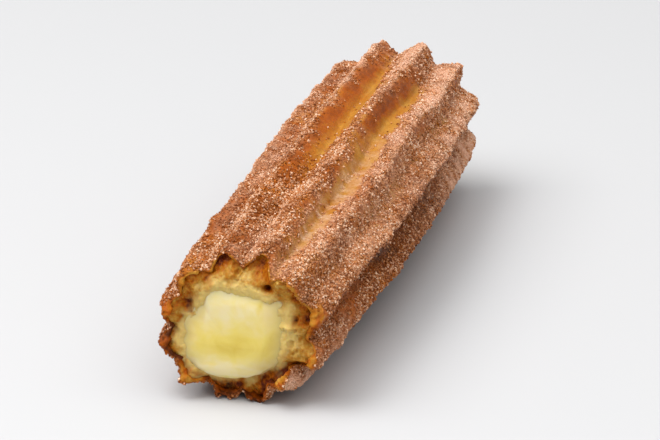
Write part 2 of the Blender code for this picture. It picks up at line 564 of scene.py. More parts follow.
@dataclass(frozen=True)
class PaleFloor:
    """A plain painted board: pale and matt, so that it shows soft shadows and no reflection."""

    colour: str = "c4c4c5"

    def build(self) -> bpy.types.Material:
        """Makes the material."""
        return new_material("pale_floor", Base_Color=linear(self.colour), Roughness=0.55)[0]


# ---------------------------------------------------------------------------
# The churro's form
# ---------------------------------------------------------------------------


@dataclass
class ChurroForm:
    """The fluted stick that every piece is fitted to, in millimetres.

    Tuples of twelve give each ridge, or each groove, its own amount. Ridges count from the one just above +X,
    and grooves from the one at +X, round towards +Z. A ridge's reach is how far its torn end stands out of a
    cut. The ridges turn a little on their way: by a sine's sway, a steady twist, a random wander, and a fan
    at the back. The mouth is where the custard's outline is uneven, near the front cut.
    """

    length: float = 148.0
    front_half_width: float = 17.6
    back_half_width: float = 18.0
    front_half_height: float = 16.8
    back_half_height: float = 17.2
    width_swell: float = 1.7
    height_swell: float = 1.2
    swell_peak: float = 0.55
    shoulder_length: float = 7.0
    shoulder_drop: float = 0.6
    bow: float = 1.5
    pressed_flat: float = 0.5
    ridge_sharpness: float = 0.93
    twist: float = math.radians(1)
    sway: float = math.radians(1.2)
    wander: float = math.radians(2.2)
    fan: float = math.radians(6.5)
    fan_middle: float = math.radians(58)
    fan_half: float = math.radians(30)
    ridge_rises: tuple[float, ...] = (1.5, 1.2, 0.6, 0.4, 0.4, 0.0, 0.2, 0.1, 0.0, 0.0, 0.3, 1.3)
    groove_depths: tuple[float, ...] = (3.6, 2.4, 3.1, 3.2, 2.9, 2.7, 3.0, 2.6, 2.9, 3.0, 2.7, 3.2)
    front_reach: tuple[float, ...] = (-2.5, 2.1, -2.1, -0.4, 0.4, 1.5, 1.1, 0.7, -3.0, -1.5, 2.2, 1.2)
    back_reach: tuple[float, ...] = (-0.7, 1.1, 2.2, 1.4, -3.2, -1.0, -0.6, 0.9, -0.5, 1.2, -1.0, -0.8)
    tear_length: float = 14.0
    core_radius: float = 9.8
    core_side: float = -2.4
    core_drop: float = 1.0
    mouth_swell: tuple[float, ...] = (
        *(2.6, 3.5, 3.8, 3.2, 1.9, 1.1, 0.4, 0.6, 0.9, -0.8, -1.2, -0.6),
        *(0.0, 0.8, 1.0, 0.6, -0.1, -0.4, -0.5, -0.2, 0.4, 1.2, 1.8, 2.3),
    )
    mouth_depth: float = 9.0
    shift: tuple[float, float] = (0.0, 0.0)

    def to_end(self, along: np.ndarray) -> np.ndarray:
        """How far the nearer cut is, in millimetres."""
        return self.length * np.minimum(along, 1 - along)

    def swell(self, along: np.ndarray) -> np.ndarray:
        """How far the full thickness is reached: a quarter sine up to the peak from either end."""
        nearer = np.minimum(along / self.swell_peak, (1 - along) / (1 - self.swell_peak))
        return np.sin(0.5 * math.pi * np.clip(nearer, 0.0, 1.0))

    def half_sizes(self, along: np.ndarray) -> tuple[np.ndarray, np.ndarray]:
        """Half the width and height over the ridge tips: straight tapers, plus the swell, less the shoulders.

        Args:
            along: Shares of the length.

        Returns:
            Half widths and half heights.
        """
        shoulder = self.shoulder_drop * np.clip(1 - self.to_end(along) / self.shoulder_length, 0.0, None) ** 2
        width = self.front_half_width + (self.back_half_width - self.front_half_width) * along
        height = self.front_half_height + (self.back_half_height - self.front_half_height) * along
        grown = self.swell(along)
        return width + self.width_swell * grown - shoulder, height + self.height_swell * grown - shoulder

    def axis_place(self, along: np.ndarray) -> tuple[np.ndarray, np.ndarray]:
        """Where the section's middle lies: bowed by half a sine, and low enough to press the tips flat."""
        lowest = self.half_sizes(along)[1] * math.cos(math.pi / RIDGES)
        return self.bow * np.sin(math.pi * along), lowest - self.pressed_flat

    def turns(self, angle: np.ndarray, along: np.ndarray | float = 0.0, swayed: bool = False) -> np.ndarray:
        """Counts ridges round the section, with 0 on the ridge just above +X.

        Args:
            angle: Angles in the section.
            along: Shares of the length.
            swayed: Whether the ridges sway, twist, wander and fan out, or run straight.

        Returns:
            The count, with whole numbers on the ridges.
        """
        if swayed:
            around = (angle - self.fan_middle + math.pi) % (2 * math.pi) - math.pi
            fanned = self.fan * bell(around, self.fan_half) * ease_between(0.5, 1.0, along)
            spot = joined(1.4 * np.cos(angle), 1.4 * np.sin(angle), 9 * along)
            fanned = fanned + self.wander * soft_noise(spot, 1.0, 19) * (1 - self.tear(along, 20.0))
            angle = angle - self.sway * np.sin(3 * angle + 5 * along) - self.twist * (along - 0.5) + fanned
        return angle * RIDGES / (2 * math.pi) - 0.5

    def wave(self, turns: np.ndarray, along: np.ndarray | float = 1.0) -> np.ndarray:
        """1 on a ridge and -1 in a groove: a triangle wave with soft corners, plumper towards the front cut.

        The plump wave is about twice a half turn's cosine, less 1: its crests are round, its grooves narrow.

        Args:
            turns: Places counted in ridges round the section.
            along: Shares of the length.

        Returns:
            The wave's height.
        """
        peak = math.asin(self.ridge_sharpness)
        lean = np.arcsin(self.ridge_sharpness * np.cos(2 * math.pi * turns)) / peak
        plump = 2 * (0.02 + 0.98 * np.cos(math.pi * turns) ** 2) ** 0.45 - 1
        share = 0.2 * ease_between(1.0, 0.5, along) + 0.68 * ease_between(0.3, 0.0, along)
        return lean + (plump - lean) * share

    def eased(self, turns: np.ndarray, amounts: tuple[float, ...]) -> np.ndarray:
        """Eases by half a cosine from each whole turn's own amount to the next one's, round and round."""
        table = np.array(amounts)
        before = np.floor(turns).astype(int)
        share = (1 - np.cos(math.pi * (turns - before))) / 2
        return table[before % len(table)] * (1 - share) + table[(before + 1) % len(table)] * share

    def outer_radius(self, angle: np.ndarray, along: np.ndarray) -> np.ndarray:
        """Distance from the section's middle to the smooth outside: an ellipse less the grooves."""
        width, height = self.half_sizes(along)
        over_tips = 1 / np.hypot(np.cos(angle) / width, np.sin(angle) / height)
        turns = self.turns(angle, along, swayed=True)
        depth = np.array(self.groove_depths)[np.mod(np.floor(turns) + 1, RIDGES).astype(int)]
        rise = self.eased(turns, self.ridge_rises)
        return over_tips + rise - depth * (1 - self.wave(turns, along)) / 2

    def core_outline(self, angle: np.ndarray, inside: np.ndarray | float) -> np.ndarray:
        """Radius of the custard about its own middle: round, and uneven in the mouth.

        Args:
            angle: Angles about the custard's middle.
            inside: How far inside the front cut, in millimetres.

        Returns:
            The radius.
        """
        fade = ease_between(self.mouth_depth, 2.0, inside)
        clock = angle * len(self.mouth_swell) / (2 * math.pi)
        return self.core_radius + fade * self.eased(clock, self.mouth_swell)

    def tear(self, along: np.ndarray, length: float) -> np.ndarray:
        """How much of the rim's unevenness a ring takes up: all at the cut, none past the given length."""
        return np.clip(1 - along * self.length / length, 0.0, None) ** 2

    def points(
        self, angle: np.ndarray, radius: np.ndarray, along: np.ndarray, outward: np.ndarray
    ) -> np.ndarray:
        """Places on the churro: polar in the section, moved in y by the outward amount, and above the floor.

        Args:
            angle: Angles in the section.
            radius: Distances from the section's middle.
            along: Shares of the length.
            outward: How far each point moves towards +Y.

        Returns:
            x, y and z along a new last axis.
        """
        side, up = self.axis_place(along)
        x = side + radius * np.cos(angle) + self.shift[0]
        z = np.maximum(up + radius * np.sin(angle), 0.0)
        y = self.length * (along - 0.5) + outward + self.shift[1]
        return joined(x, y, z)

    def fit_to(self, low: np.ndarray, high: np.ndarray) -> None:
        """Moves the form sideways and lengthways so that its plain outside is centred in the given box.

        Args:
            low: The box's lowest corner, in millimetres.
            high: The box's highest corner.
        """
        angle = np.linspace(0, 2 * math.pi, 361)[None, :-1]
        along = np.linspace(0, 1, 201)[:, None]
        turns = self.turns(angle)
        outward = self.eased(turns, self.back_reach) * self.tear(1 - along, self.tear_length)
        outward = outward - self.eased(turns, self.front_reach) * self.tear(along, self.tear_length)
        outside = self.points(angle, self.outer_radius(angle, along), along, outward)
        middle = (outside.min(axis=(0, 1)) + outside.max(axis=(0, 1))) / 2
        wanted = (low + high) / 2
        self.shift = (float(wanted[0] - middle[0]), float(wanted[1] - middle[1]))


@dataclass(frozen=True)
class Patch:
    """A patch on the crust that is bare, frosted, scorched or folded in.

    Its turn and half width count in ridges, and its place along and half length in shares of the length.
    Dark patches are partly browning and partly painted shade, and a fold is also painted darker as shade.
    """

    turn: float
    along: float
    half_length: float
    strength: float
    half_width: float = 0.36


@dataclass(frozen=True)
class Span:
    """One stretch of the shell: its start and stop, in millimetres from the front cut, and its mesh."""

    name: str
    start: float
    stop: float
    around: int
    outer_rows: int
    inner_rows: int
    lip: End | None = None
    lip_rows: int = 14

    def path(self, length: float) -> tuple[np.ndarray, np.ndarray, np.ndarray]:
        """The rows' path round the wall: the outside, the back end, the inside and the front end.

        Args:
            length: The churro's length.

        Returns:
            For each row its share of the length, its depth in the wall from 0 to 1, and how far it has
            turned round a lip: 0 on the outside, half a turn on the inside, negative at the front.
        """
        even = np.linspace(0, 1, self.outer_rows)
        if self.lip is End.FRONT:
            even = even**1.5
        elif self.lip is End.BACK:
            even = 1 - (1 - even) ** 1.5
        outer = self.start + (self.stop - self.start) * even
        inner = self.stop + (self.start - self.stop) * np.linspace(0, 1, self.inner_rows)
        round_lip = np.linspace(0, math.pi, self.lip_rows + 2)[1:-1]
        front = round_lip[::-1] if self.lip is End.FRONT else np.zeros(0)
        back = round_lip if self.lip is End.BACK else np.zeros(0)
        along = np.concatenate([outer, back * 0 + self.stop, inner, front * 0 + self.start]) / length
        turn = np.concatenate([outer * 0, back, inner * 0 + math.pi, -front])
        return along, (1 - np.cos(turn)) / 2, turn


@dataclass
class Crust:
    """The fried outside: a closed shell in three stretches, with a rounded torn rim at each cut.

    Tuples of twelve give each ridge or groove its own amount, and count as the form's do. At the front cut
    they say how far the rim reaches out, how thick it is, how far it curls in, how brown its torn edge is
    and how much of its sugar is rubbed off. After them come the patches that are bare, frosted with fine
    sugar, dark (partly browning, partly painted shade), or folded in by up to the crease depth, with painted
    shade in the folds. At the back, all grooves have the same notch. The relief is made of lumps, notches in
    the ridges' crests, faint lines drawn along the churro, blisters, and coarser lumps and grit by the torn
    rims, and the whole of it is sunk a little.
    """

    form: ChurroForm
    spans: tuple[Span, ...] = (
        Span("crust_front", 0.0, 12.0, 900, 62, 24, End.FRONT),
        Span("crust", 11.0, 137.0, 400, 214, 20),
        Span("crust_back", 136.0, 148.0, 760, 54, 24, End.BACK),
    )
    seam: float = 1.0
    seam_depth: float = 0.22
    wall_thickness: float = 2.0
    ridge_reach: tuple[float, ...] = (-0.3, 2.4, -4.6, -4.3, 0.0, 0.8, 0.3, 0.2, -3.0, -1.5, 1.6, 1.0)
    groove_reach: tuple[float, ...] = (-1.6, -0.6, 0.2, -3.4, -3.2, -1.4, -1.0, -0.8, -2.6, -2.8, -1.2, -2.6)
    back_notch: float = 1.6
    ridge_rim: tuple[float, ...] = (2.1, 1.5, 0.9, 0.9, 2.0, 2.4, 2.8, 2.2, 2.4, 2.2, 2.4, 2.0)
    groove_rim: float = 1.1
    ridge_curl: tuple[float, ...] = (0.3, 0.3, 0.0, 0.0, 0.0, 0.0, 0.0, 0.2, 0.3, 0.0, 2.3, 0.2)
    rim_toast: tuple[float, ...] = (0.16, 0.30, 0.36, 0.34, 0.16, 0.60, 0.76, 0.22, 0.72, 0.74, 0.40, 0.46)
    rim_bare: tuple[float, ...] = (1.0, 0.15, 0.0, 0.0, 0.3, 0.9, 0.8, 0.4, 0.5, 0.5, 0.15, 0.0)
    bare: tuple[Patch, ...] = (
        Patch(2.58, 0.66, 0.22, 2.2),
        Patch(1.60, 0.66, 0.20, 2.0),
        Patch(1.48, 0.28, 0.28, 1.7, 0.26),
        Patch(11.2, 0.12, 0.14, 0.2, 0.4),
        Patch(0.45, 0.36, 0.18, 0.6, 0.25),
        Patch(3.5, 0.70, 0.12, 0.6),
        Patch(0.5, 0.74, 0.16, 0.5),
        Patch(4.5, 0.35, 0.12, 0.5),
        Patch(6.5, 0.45, 0.22, 0.8),
        Patch(8.5, 0.62, 0.22, 0.9),
        Patch(10.5, 0.40, 0.25, 0.8),
    )
    frosted: tuple[Patch, ...] = (
        Patch(1.48, 0.20, 0.28, 0.62, 0.30),
        Patch(2.5, 0.04, 0.06, 0.6),
        Patch(4.0, 0.55, 0.30, 0.75, 0.5),
        Patch(0.5, 0.30, 0.30, 0.3, 0.8),
        Patch(4.2, 0.88, 0.20, 0.8, 0.5),
        Patch(3.0, 0.95, 0.28, 1.0, 0.42),
        Patch(2.0, 0.95, 0.30, 1.0, 0.42),
        Patch(1.0, 0.88, 0.34, 1.1, 0.42),
        Patch(0.0, 0.88, 0.28, 0.9, 0.42),
        Patch(11.0, 0.90, 0.26, 1.0, 0.42),
        Patch(10.0, 0.02, 0.10, 0.9, 0.5),
        Patch(11.0, 0.05, 0.12, 0.3, 0.3),
    )
    # Dark patches. Those low on the right paint the shade there, the one at turn 1.84 is partly browner crust
    # and partly painted shade, and the others make the crust darker in small patches.
    scorched_and_shaded: tuple[Patch, ...] = (
        Patch(1.84, 0.66, 0.09, 0.24, 0.18),
        Patch(2.95, 0.42, 0.20, 0.30, 0.32),
        Patch(1.16, 0.36, 0.16, 0.5, 0.13),
        Patch(2.2, 0.20, 0.10, 0.4, 0.16),
        Patch(11.55, 0.54, 0.26, 1.4),
        Patch(11.0, 0.52, 0.24, 0.5),
        Patch(11.4, 0.18, 0.20, 0.65, 0.25),
        Patch(10.5, 0.55, 0.30, 1.1),
    )
    # Folds between the lower ridges: they push the wall in, and the finish also paints shade into them.
    creases: tuple[Patch, ...] = (Patch(11.72, 0.40, 0.40, 1.4, 0.15), Patch(10.72, 0.40, 0.30, 0.8, 0.13))
    crease_depth: float = 1.2
    rim_tears: tuple[Uneven, ...] = (Uneven(0.6, 2.4, 0), Uneven(0.4, 1.1, 1), Uneven(0.18, 0.5, 2))
    lumps: tuple[Uneven, ...] = (Uneven(0.42, 7.5, 21, 3), Uneven(0.20, 2.4, 27))
    crest_notches: tuple[Uneven, ...] = (Uneven(0.30, 1.9, 31), Uneven(0.18, 1.0, 33))
    drawn_lines: Uneven = Uneven(0.06, 0.9, 35)
    torn_lumps: tuple[Uneven, ...] = (Uneven(0.55, 1.9, 36), Uneven(0.48, 0.9, 38))
    torn_grit: Uneven = Uneven(0.16, 0.45, 39)
    blisters: Uneven = Uneven(0.12, 1.3, 37)
    sunk: float = 0.38
    rim_browning: tuple[Uneven, ...] = (
        Uneven(0.36, 2.6, 45, 2),
        Uneven(0.28, 1.0, 46),
        Uneven(0.25, 5.0, 44),
    )
    uneven_wall: Uneven = Uneven(0.35, 2.2, 15)
    ragged_folds: Uneven = Uneven(0.05, 1.6, 29)
    pieces: list[bpy.types.Object] = field(default_factory=list)

    def rim_reach(self, angle: np.ndarray, end: End) -> np.ndarray:
        """How far the rim reaches past the plane of the cut, without its fine tears.

        At the front each ridge and groove has its own reach. At the back each ridge has, and every groove is
        notched by the same amount.

        Args:
            angle: Angles in the section.
            end: Which cut end.

        Returns:
            How far out the rim is.
        """
        form = self.form
        turns = form.turns(angle)
        if end is End.BACK:
            return form.eased(turns, form.back_reach) - self.back_notch * (1 - form.wave(turns)) / 2
        after_ridges = np.roll(self.groove_reach, -1)
        both = tuple(reach for pair in zip(self.ridge_reach, after_ridges) for reach in pair)
        return form.eased(2 * turns, both)

    def tears(self, angle: np.ndarray, end: End) -> np.ndarray:
        """How far the torn rim departs from its broad shape, in tears of a few sizes."""
        round_rim = joined(16 * np.cos(angle), 16 * np.sin(angle))
        return summed(self.rim_tears, round_rim, 5 if end is End.FRONT else 9)

    def curl(self, angle: np.ndarray, along: np.ndarray) -> np.ndarray:
        """How far each ridge's front end bends inwards: a square law over the last seven millimetres."""
        return self.form.eased(self.form.turns(angle), self.ridge_curl) * self.form.tear(along, 7.0)

    def thickness(self, angle: np.ndarray, along: np.ndarray) -> np.ndarray:
        """How thick the wall is: uneven at the torn rim, and even past the first eight millimetres."""
        turns = self.form.turns(angle)
        ridge = self.form.eased(turns, self.ridge_rim)
        rim = self.groove_rim + (ridge - self.groove_rim) * (self.form.wave(turns) + 1) / 2
        around = joined(16 * np.cos(angle), 16 * np.sin(angle))
        rim = rim * (1 + self.uneven_wall.at(around))
        return rim + (self.wall_thickness - rim) * ease_between(1, 8, self.form.to_end(along))

    def relief(self, angle: np.ndarray, along: np.ndarray, base: np.ndarray) -> np.ndarray:
        """Unevenness of the surface: lumps, blisters, jagged crests, faint lines, and a rougher torn rim.

        Args:
            angle: Angles in the section.
            along: Shares of the length.
            base: The smooth surface's points.

        Returns:
            How far each point moves outwards.
        """
        turns = self.form.turns(angle, along, swayed=True)
        crest = ease_between(0.35, 0.95, self.form.wave(turns))
        lumps = summed(self.lumps, base)
        jagged = crest * (1 + 0.4 * along) * summed(self.crest_notches, base)
        lines = self.drawn_lines.at(base * np.array([1.0, 0.15, 1.0]))
        to_end = self.form.to_end(along)
        torn = bell(to_end, 2.6) * summed(self.torn_lumps, base) + bell(to_end, 1.8) * self.torn_grit.at(base)
        return lumps + jagged + lines + torn + self.blisters.at(base) - self.sunk

    def crease(self, angle: np.ndarray, along: np.ndarray, base: np.ndarray) -> np.ndarray:
        """How far the ragged folds between the lower ridges push each place inwards."""
        turns = self.form.turns(angle, along, swayed=True) + self.ragged_folds.at(base)
        return self.crease_depth * self.patched(self.creases, turns, along)

    def wall(
        self, angle: np.ndarray, along: np.ndarray, depth: np.ndarray, turn: np.ndarray
    ) -> tuple[np.ndarray, np.ndarray]:
        """Points of the shell's wall.

        The folds push both of its faces inwards. The relief pushes each point along the wall's normal, which
        turns over the lip with the wall, and is half as strong on the inside.

        Args:
            angle: Angles in the section.
            along: Shares of the length.
            depth: How deep in the wall, from 0 on the outside to 1 on the inside.
            turn: How far a row has turned round a lip.

        Returns:
            The finished points, and the same points without relief or folds.
        """
        form = self.form
        outward = np.zeros(np.broadcast(angle, along).shape)
        for end, share, sign in ((End.FRONT, along, -1.0), (End.BACK, 1 - along, 1.0)):
            reach = self.rim_reach(angle, end) * form.tear(share, form.tear_length)
            outward = outward + sign * (reach + self.tears(angle, end) * form.tear(share, 4.0))
        thick = self.thickness(angle, along)
        radius = form.outer_radius(angle, along) - self.curl(angle, along) - thick * depth
        past = outward + np.sin(turn) * thick / 2
        base = form.points(angle, radius, along, past)
        rough = self.relief(angle, along, base) * (1 - 0.5 * depth)
        radius = radius - self.crease(angle, along, base)
        points = form.points(angle, radius + rough * np.cos(turn), along, past + rough * np.sin(turn))
        return points, base

    def patched(self, patches: tuple[Patch, ...], turns: np.ndarray, along: np.ndarray) -> np.ndarray:
        """How strongly patches of a kind are felt: bell-shaped across the ridges and along them.

        Args:
            patches: The patches.
            turns: Places counted in ridges round the section.
            along: Shares of the length.

        Returns:
            Their sum, at most 1.
        """
        total = np.zeros(np.broadcast(turns, along).shape)
        for patch in patches:
            across = (turns - patch.turn + RIDGES / 2) % RIDGES - RIDGES / 2
            beside = bell(across, patch.half_width)
            total += patch.strength * beside * bell(along - patch.along, patch.half_length)
        return np.clip(total, 0.0, 1.0)

    def finish_of(
        self, angle: np.ndarray, along: np.ndarray, depth: np.ndarray, base: np.ndarray
    ) -> tuple[np.ndarray, np.ndarray, np.ndarray]:
        """Works out how toasted, how sugared and how frosted with fine sugar each place is.

        Args:
            angle: Angles in the section.
            along: Shares of the length.
            depth: How deep each row is in the wall, from 0 to 1.
            base: The points without relief or folds.

        Returns:
            The browning with its painted shade, the dust and the frost, each from 0 to 1.
        """
        turns = self.form.turns(angle, along, swayed=True)
        straight_turns = self.form.turns(angle)
        wave = self.form.wave(turns)
        from_front = self.form.length * along
        clear = 0.6 * soft_noise(base, 5.0, 41) - 0.5 * wave
        bare = self.patched(self.bare, turns, along) * ease_between(-0.9, 0.1, clear)
        scorched_and_shaded = self.patched(self.scorched_and_shaded, turns, along)
        crease_shade = self.patched(self.creases, turns, along)
        # The flank past each groove, the one in shade on the upper ridges, is browner and less sugared:
        # partly browning, partly painted shade.
        within = turns - np.floor(turns)
        shaded_flank = ease_between(0.46, 0.8, within) * ease_between(1.0, 0.92, within)
        far_half = ease_between(0.42, 0.62, along)
        # Browning: gold in bare places, blotched elsewhere, darker near the cuts and towards the bottom.
        # Painted shade darkens the shaded flanks, the folds and some dark patches.
        in_bare = 0.13 + 0.45 * shaded_flank * far_half + 0.1 * soft_noise(base, 4.0, 48)
        blotches = layered_noise(base * np.array([1, 0.5, 1]), 6.0, 43)
        elsewhere = 0.34 + 0.14 * shaded_flank + 0.30 * blotches
        elsewhere = elsewhere + 0.16 * soft_noise(base, 2.6, 42) + 0.07 * wave
        toast_and_shade = elsewhere + (in_bare - elsewhere) * bare + 0.5 * scorched_and_shaded + 0.62 * crease_shade
        toast_and_shade = toast_and_shade + 0.08 * bell(self.form.to_end(along), 3.0)
        toast_and_shade = toast_and_shade + 0.18 * ease_between(11.0, 2.0, base[..., 2])
        # The torn rim, and ridge ends that were rubbed, have a browning of their own.
        rim = self.form.eased(straight_turns, self.rim_toast) + summed(self.rim_browning, base)
        rubbed = self.form.eased(straight_turns, self.rim_bare) * bell(from_front, 2.2)
        rubbed = rubbed * ease_between(-0.6, 0.8, wave)
        toast_and_shade = toast_and_shade + (rim - toast_and_shade) * np.maximum(ease_between(0.05, 0.35, depth), 0.9 * rubbed)
        # Dust: in patches, and thin in bare places and on torn rims; it is also thin on the shaded flanks, in
        # dark patches and in folds, to let painted shade show.
        patches = ease_between(-0.45, 0.2, layered_noise(base * np.array([1, 0.45, 1]), 5.0, 47, 2))
        near_rim = 0.6 * bell(from_front, 9.0)
        dust = (1 - (0.92 + 0.05 * far_half) * bare) * (0.45 + 0.55 * np.maximum(patches, near_rim))
        dust = dust * (1 - 0.5 * shaded_flank) * (1 - 0.35 * ease_between(0.15, 0.55, blotches))
        dust = dust * (1 - 0.6 * scorched_and_shaded) * (1 - 0.85 * crease_shade) * (1 - rubbed)
        dust = dust * (1 - ease_between(0.2, 0.7, depth))
        # Fine sugar: on the outside only, and thin in bare places and on the shaded flanks of the far half.
        frost = self.patched(self.frosted, turns, along)
        frost = frost * (1 - 0.9 * bare * far_half) * (1 - 0.7 * shaded_flank * far_half)
        frost = frost * (0.75 + 0.85 * soft_noise(base, 1.8, 49)) * (1 - ease_between(0.0, 0.3, depth))
        return tuple(np.clip(np.broadcast_to(share, toast_and_shade.shape), 0, 1) for share in (toast_and_shade, dust, frost))

    def build(self) -> list[bpy.types.Object]:
        """Makes each stretch of the shell. Its hidden ends dip a little, to slip under its neighbours.

        Returns:
            The stretches.
        """
        for span in self.spans:
            along, depth, turn = (values[:, None] for values in span.path(self.form.length))
            angle = angles_round(span.around)
            points, base = self.wall(angle, along, depth, turn)
            place = along * self.form.length
            dip = np.zeros_like(place)
            if span.lip is not End.FRONT:
                dip = dip + ease_between(span.start + self.seam, span.start, place)
            if span.lip is not End.BACK:
                dip = dip + ease_between(span.stop - self.seam, span.stop, place)
            sink = (self.seam_depth * dip * (1 - 2 * depth))[..., None]
            points = points - sink * joined(np.cos(angle), 0.0, np.sin(angle))
            points[..., 2] = np.maximum(points[..., 2], 0.0)
            made = mesh_from_arrays(
                span.name, points.reshape(-1, 3), [ring_faces(*points.shape[:2], closed=True)], smooth=True
            )
            for kind, shares in zip(("toast_and_shade", "dust", "frost"), self.finish_of(angle, along, depth, base)):
                give_attribute(made, kind, shares)
            self.pieces.append(made)
        return self.pieces

    def outside(self, around: int = 336, rows: int = 240, lip_rows: int = 5) -> tuple[np.ndarray, ...]:
        """The outer wall and two thirds of both lips as one open grid, for strewing.

        Args:
            around: Points round the section.
            rows: Rows along the length.
            lip_rows: Rows on each lip.

        Returns:
            The points, how brown each is (with painted shade), how sugared and frosted, and its wave: 1 on
            ridges, -1 in grooves.
        """
        even = np.linspace(0, 1, rows)
        straight = even - 0.5 * np.sin(2 * math.pi * even) / (2 * math.pi)
        lip = np.linspace(0, 0.65 * math.pi, lip_rows + 1)[1:]
        along = np.concatenate([lip * 0, straight, lip * 0 + 1])[:, None]
        turn = np.concatenate([-lip[::-1], straight * 0, lip])[:, None]
        angle = angles_round(around)
        depth = (1 - np.cos(turn)) / 2
        points, base = self.wall(angle, along, depth, turn)
        wave = self.form.wave(self.form.turns(angle, along, swayed=True)) * np.ones_like(along)
        return points, *self.finish_of(angle, along, depth, base), wave

    def dress(self, material: bpy.types.Material) -> None:
        """Gives the crust its material and its place in the frame."""
        for piece in self.pieces:
            piece.data.materials.append(material)
            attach(piece, "root")
            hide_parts("dough")


@dataclass(frozen=True)
class Dent:
    """A hollow, a bulge or a stain in a cut face, in millimetres from the middle of the section.

    A bulge has a negative depth, and a stain has none. The last number says how much browner it is, and paler
    if negative; in a hollow, this browning is partly a stain and partly painted shade.
    """

    across: float
    up: float
    half_width: float
    half_height: float
    depth: float
    toast_and_shade: float = 0.0


@dataclass
class CrumbEnd:
    """The ring of crumb at one cut end: its torn face, and a hidden back inside the crust.

    Tuples of twelve count as the form's do: how far inside the cut its lip round the custard lies, how far
    each ridge's crumb is drawn back behind the crust's rim, and how brown it is. Lumps and air holes make
    its face rough, painted shade darkens its hollows and air holes, and smears of custard wet it.
    """

    form: ChurroForm
    crust: Crust
    end: End
    lip_depth: tuple[float, ...]
    recess: tuple[float, ...]
    shade: tuple[float, ...]
    dents: tuple[Dent, ...]
    around: int = 560
    face_rows: int = 120
    hidden_depth: float = 13.0
    under_custard: float = 2.0
    seed: int = 51
    lumps: tuple[Uneven, ...] = (Uneven(0.6, 4.2, 0, 2), Uneven(0.46, 1.9, 3, 3), Uneven(0.2, 0.8, 4))
    air_holes: tuple[Pits, ...] = (
        Pits(0.75, 2.6, 0.9, 0.4, 5),
        Pits(0.6, 1.3, 0.45, 0.45, 9),
        Pits(0.5, 0.7, 0.26, 0.6, 13),
    )
    browning: tuple[Uneven, ...] = (Uneven(0.30, 4.2, 0, 2), Uneven(0.38, 1.7, 27, 3))
    smears: Uneven = Uneven(2.2, 2.2, 31, 3)
    piece: bpy.types.Object | None = None

    @property
    def at_end(self) -> float:
        """The cut's share of the length."""
        return 0.0 if self.end is End.FRONT else 1.0

    def outlines(self, angle: np.ndarray) -> tuple[np.ndarray, np.ndarray]:
        """The face's outlines: the inner one lies under the custard, the outer one inside the crust's wall.

        Args:
            angle: Angles in the section.

        Returns:
            For each outline its places in the section, across and up along the last axis.
        """
        form = self.form
        ends = np.full_like(angle, self.at_end)
        bore = form.core_outline(angle, self.at_end * form.length) - self.under_custard
        skin = form.outer_radius(angle, ends) - self.crust.curl(angle, ends)
        skin = skin - 0.5 * self.crust.thickness(angle, ends) - 0.2
        inner = joined(form.core_side + bore * np.cos(angle), bore * np.sin(angle) - form.core_drop)
        return inner, joined(skin * np.cos(angle), skin * np.sin(angle))

    def dented(self, flat: np.ndarray) -> tuple[np.ndarray, np.ndarray]:
        """Adds up the dents, each of which is bell-shaped across and up.

        Args:
            flat: Places in the section, across and up along the last axis.

        Returns:
            How far the dents push each place in, and how much browner they make it, partly as a stain and
            partly as painted shade.
        """
        hollow, stain_and_shade = np.zeros(flat.shape[:-1]), np.zeros(flat.shape[:-1])
        for dent in self.dents:
            shape = bell(flat[..., 0] - dent.across, dent.half_width)
            shape = shape * bell(flat[..., 1] - dent.up, dent.half_height)
            hollow = hollow + dent.depth * shape
            stain_and_shade = stain_and_shade + dent.toast_and_shade * shape
        return hollow, stain_and_shade

    def build(self) -> bpy.types.Object:
        """Makes the ring of crumb: a height field over the cut face, closed by a plain back.

        A point's place in the face is a straight blend between its inner and outer outlines.

        Returns:
            The crumb.
        """
        form = self.form
        angle = angles_round(self.around)
        share = np.linspace(0, 1, self.face_rows)[:, None]
        inner, outer = self.outlines(angle)
        flat = inner + (outer - inner) * share[..., None]
        width = np.linalg.norm(outer - inner, axis=-1)
        from_lip = share * width - self.under_custard
        from_skin = (1 - share) * width
        # The broad shape: from the lip's depth to the depth behind the rim, by a smooth step.
        rim_depth = -self.crust.rim_reach(angle, self.end) - self.crust.tears(angle, self.end)
        turns = form.turns(angle)
        in_ridges = (form.wave(turns) + 1) / 2
        recess = 0.1 + form.eased(turns, self.recess) * in_ridges
        rise = ease_between(0.0, 1.0, from_lip / np.maximum(width - self.under_custard, 0.5))
        depth = form.eased(turns, self.lip_depth) * (1 - rise) + (rim_depth + recess) * rise
        depth = depth + 0.25 * np.clip(-from_lip, 0, None)
        hollow, stain_and_shade = self.dented(flat)
        # Lumps and air holes, which fade out by the crust and are weaker by the custard.
        lumps = summed(self.lumps, flat, self.seed)
        pits = np.max([holes.depth(flat, self.seed) for holes in self.air_holes], axis=0)
        rough = ease_between(0.0, 1.2, from_skin) * (0.55 + 0.45 * ease_between(0.0, 2.5, from_lip))
        depth = np.minimum(depth + hollow + rough * (lumps + pits), self.hidden_depth - 2.0)
        # The face, then three closing rings in the plane of the hidden back, from the crust to the bore.
        side, up = form.axis_place(np.full_like(angle, self.at_end))
        y = form.length * (self.at_end - 0.5) + form.shift[1]
        sign = 1 - 2 * self.at_end
        closing = np.concatenate([flat[-1:], (flat[-1:] + flat[:1]) / 2, flat[:1]])
        lifted = np.maximum(up + flat[..., 1], 0.3)
        face = joined(side + flat[..., 0] + form.shift[0], y + sign * depth, lifted)
        back = joined(
            side + closing[..., 0] + form.shift[0], y + sign * self.hidden_depth, up + closing[..., 1]
        )
        points = np.concatenate([face, back])
        rows, columns = points.shape[:2]
        self.piece = mesh_from_arrays(
            f"crumb_{self.end.value}",
            points.reshape(-1, 3),
            [ring_faces(rows, columns, closed=True, flip=self.end is End.BACK)],
            True,
        )
